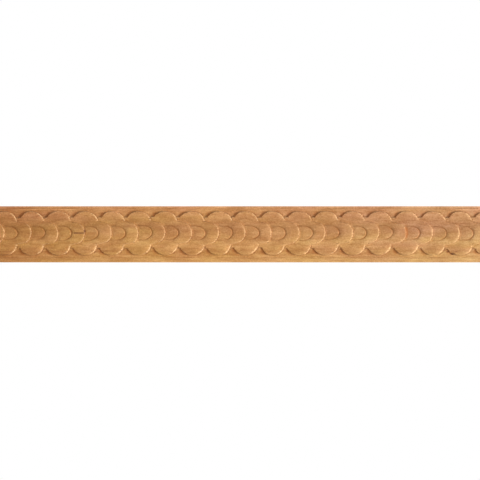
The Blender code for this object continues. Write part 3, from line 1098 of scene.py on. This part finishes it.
def carved_wood(grain):
    """Bare carved wood with ragged torn fibres on its edges, painted shade in the cuts, the eye's groove and
    beside the lit walls, and painted highlights on the arrises that face the key light.
    """
    material, shader, wood, principled = new_wood("carved face wood", grain)
    place = shader.place()
    masks = {}
    for name in ("painted_cut_shade", "groove", "arris", "edge", "foot"):
        masks[name] = shader.add("ShaderNodeAttribute", "Fac", {"attribute_name": name})
    color = shader.tint(wood["Color"], board_tone_and_light(shader, place))

    fuzz = shader.swing(place, FUZZ)
    patches = shader.times(shader.swing(place, PATCHES), PATCH_SWING)
    color = shader.tint(color, wood_shade(shader, shader.plus(patches, fuzz, FUZZ_SWING)))
    warm = shader.times(shader.swing(place, WARM_PATCHES), WARM_SWING)
    green, blue = shader.plus(1.0, warm, WARM_GREEN), shader.math("SUBTRACT", 1.0, warm)
    color = shader.tint(color, shader.add("ShaderNodeCombineXYZ", X=1.0, Y=green, Z=blue))

    # Painted shade at the base of the left-hand walls of the cuts
    color = shader.mix(shader.times(masks["painted_cut_shade"], PAINTED_CUT_SHADE_AMOUNT), color, PAINTED_CUT_SHADE_TINT)
    # Painted shade in the bottom of the groove round each eye
    color = shader.mix(shader.times(masks["groove"], PAINTED_GROOVE_SHADE_AMOUNT), color, PAINTED_GROOVE_SHADE_TINT)
    # Painted highlight on the arrises that face the key light, broken up by a fibre noise
    pale = shader.ramp(shader.noise(place, *HIGHLIGHT_FIBRES), HIGHLIGHT_SPAN, HIGHLIGHT_AMOUNT)
    color = shader.mix(shader.times(masks["arris"], pale), color, PAINTED_HIGHLIGHT_TINT)
    torn = shader.ramp(shader.noise(place, *TORN_FIBRES), TORN_SPAN)
    torn = shader.times(shader.times(torn, masks["edge"]), TORN_AMOUNT)
    color = shader.mix(torn, color, TORN_FIBRE)
    # Painted shade: a dark broken line at the base of the walls that face the key light
    foot = shader.ramp(shader.noise(place, *FOOT_SHADE_BREAKUP), FOOT_SHADE_SPAN, FOOT_SHADE_AMOUNT)
    color = shader.mix(shader.times(masks["foot"], foot), color, FOOT_SHADE_TINT)
    color = shader.mix(board_marks(shader, place, STAINS), color, STAIN_TINT)
    color = shader.mix(board_marks(shader, place, CRACKS), color, CRACK_TINT)

    height = shader.plus(wood["Height"], fuzz, FUZZ_HEIGHT)
    height = shader.plus(height, torn, TORN_HEIGHT)
    finish(shader, principled, color, wood["Roughness"], height, FACE_BUMP)
    return material


def sawn_end(grain):
    """Sawn end grain: darker, duller, with fine saw marks across it."""
    contrasts = {"Ring contrast": SAWN_RING_CONTRAST, "Streak contrast": SAWN_STREAK_CONTRAST}
    material, shader, wood, principled = new_wood("sawn end grain", grain, contrasts)
    saw = shader.noise(shader.place(), *SAW_MARKS)
    color = shader.mix(SAWN_AMOUNT, wood["Color"], SAWN_TINT)
    color = shader.mix(shader.ramp(saw, SAW_MARK_SPAN, SAW_MARK_AMOUNT), color, SAW_MARK_TINT)
    rough = shader.math("ADD", wood["Roughness"], SAWN_ROUGHNESS)
    finish(shader, principled, color, rough, saw, SAWN_BUMP)
    return material


def planed_back(grain):
    """The planed back: the same board, flat and a little duller, with faint planer ripples across it."""
    material, shader, wood, principled = new_wood("planed back wood", grain)
    along = shader.axes(shader.place())["X"]
    ripple = shader.math("SINE", shader.times(along, 2 * math.pi / PLANER_RIPPLE))
    color = shader.mix(PLANED_AMOUNT, wood["Color"], PLANED_TINT)
    rough = shader.math("ADD", wood["Roughness"], PLANED_ROUGHNESS)
    height = shader.plus(wood["Height"], ripple, RIPPLE_HEIGHT)
    finish(shader, principled, color, rough, height, PLANED_BUMP)
    return material


# The camera's view: so many pixels span this width of the moulding, whose middle lies on this row
IMAGE_SIZE = 480
VIEW_WIDTH = 0.7167
STRIP_MIDDLE_ROW = 234.3
CAMERA_DISTANCE = 6.0
CAMERA_REACH = 60.0

# The studio: a large soft key light on the right, an even white fill, and a round pale floor
KEY_ELEVATION = math.radians(30)
KEY_TILT = math.radians(-9)
KEY_DISTANCE = 4.2
KEY_SIZE = (1.4, 2.0)
KEY_POWER = 278
FILL_STRENGTH = 0.61
WHITE = (1, 1, 1, 1)
FLOOR_RADIUS = 3.6
FLOOR_HEIGHT = -0.90
FLOOR_SPACING = FLOOR_RADIUS / 10
FLOOR_TINT = (0.86, 0.86, 0.85, 1)
FLOOR_ROUGHNESS = 0.7


def make_camera():
    """A long lens square to the front, so that the moulding runs past both sides of the picture."""
    data = bpy.data.cameras.new("camera")
    camera = add_object("camera", data)
    height = (STRIP_MIDDLE_ROW - IMAGE_SIZE / 2) * VIEW_WIDTH / IMAGE_SIZE
    camera.location = (0.0, LOW.y - CAMERA_DISTANCE, height)
    camera.rotation_euler = (math.pi / 2, 0.0, 0.0)
    data.lens = data.sensor_width * CAMERA_DISTANCE / VIEW_WIDTH
    data.clip_end = CAMERA_REACH
    bpy.context.scene.camera = camera


def make_key_light():
    """A soft light to the right of the moulding, raised towards the camera and tilted from level."""
    across, forward = math.cos(KEY_ELEVATION) * KEY_DISTANCE, math.sin(KEY_ELEVATION) * KEY_DISTANCE
    data = bpy.data.lights.new("key", "AREA")
    data.shape = "RECTANGLE"
    data.size, data.size_y = KEY_SIZE
    data.energy = KEY_POWER
    light = add_object("key", data)
    light.location = (across * math.cos(KEY_TILT), -forward, across * math.sin(KEY_TILT))
    light.rotation_euler = light.location.to_track_quat("Z", "Y").to_euler()


def make_world():
    """An even fill light, seen by the camera as a plain white backdrop."""
    world = bpy.data.worlds.new("studio")
    bpy.context.scene.world = world
    world.use_nodes = True
    shader = Nodes(world.node_tree)
    mixed = shader.add("ShaderNodeMixShader", None)
    shader.put(mixed.inputs[0], shader.add("ShaderNodeLightPath", "Is Camera Ray"))
    for socket, strength in zip(mixed.inputs[1:], (FILL_STRENGTH, 1.0)):
        shader.put(socket, shader.add("ShaderNodeBackground", Color=WHITE, Strength=strength))
    shader.add("ShaderNodeOutputWorld", None, Surface=mixed.outputs[0])


def make_floor():
    """A plain round floor, well below the moulding."""
    mesh = bpy.data.meshes.new("floor")
    rim = arc((0.0, 0.0), (FLOOR_RADIUS, FLOOR_RADIUS), 0.0, 2 * math.pi, FLOOR_SPACING)[:-1]
    mesh.from_pydata([(x, y, FLOOR_HEIGHT) for x, y in rim], [], [range(len(rim))])
    paint = bpy.data.materials.new("pale floor")
    paint.use_nodes = True
    principled = paint.node_tree.nodes["Principled BSDF"]
    principled.inputs["Base Color"].default_value = FLOOR_TINT
    principled.inputs["Roughness"].default_value = FLOOR_ROUGHNESS
    mesh.materials.append(paint)
    floor = add_object("floor", mesh)


make_camera()
grain = grain_group()
moulding = make_moulding(carved_wood(grain), sawn_end(grain), planed_back(grain))
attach(moulding, "root")
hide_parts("moulding")
make_key_light()
make_world()
make_floor()
bpy.context.scene.view_settings.view_transform = "Standard"
